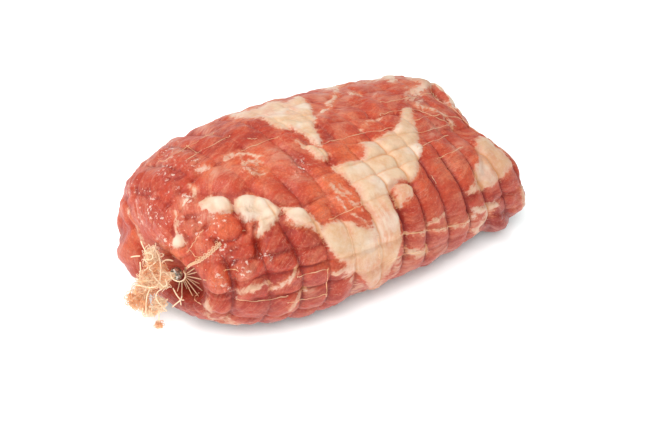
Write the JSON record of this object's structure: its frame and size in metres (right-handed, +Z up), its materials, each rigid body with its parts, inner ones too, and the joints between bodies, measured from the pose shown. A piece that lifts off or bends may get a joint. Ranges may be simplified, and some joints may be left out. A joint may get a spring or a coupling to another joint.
{
  "type": "rolled pork neck",
  "caption": "Raw rolled pork neck, a fat-streaked meat roll pressed into pillows by an elastic roasting net, clipped at its ends, for roasting or slicing.",
  "frame": {"origin": "centre of the footprint, on the surface the roll lies on", "axes": "+X along the roll, from the tall near end to the low far end; +Z up"},
  "size_m": [0.2924, 0.1718, 0.1023],
  "materials": {
    "meat": "moist raw lean and fat",
    "net": "meat-stained elastic thread",
    "clip": "dull crimped wire"
  },
  "bodies": {
    "root": {"pork_neck": "meat", "roasting_net": "net", "clip_near": "clip", "clip_far": "clip", "net_tail_near": "net", "net_tail_far": "net"}
  },
  "joints": []
}
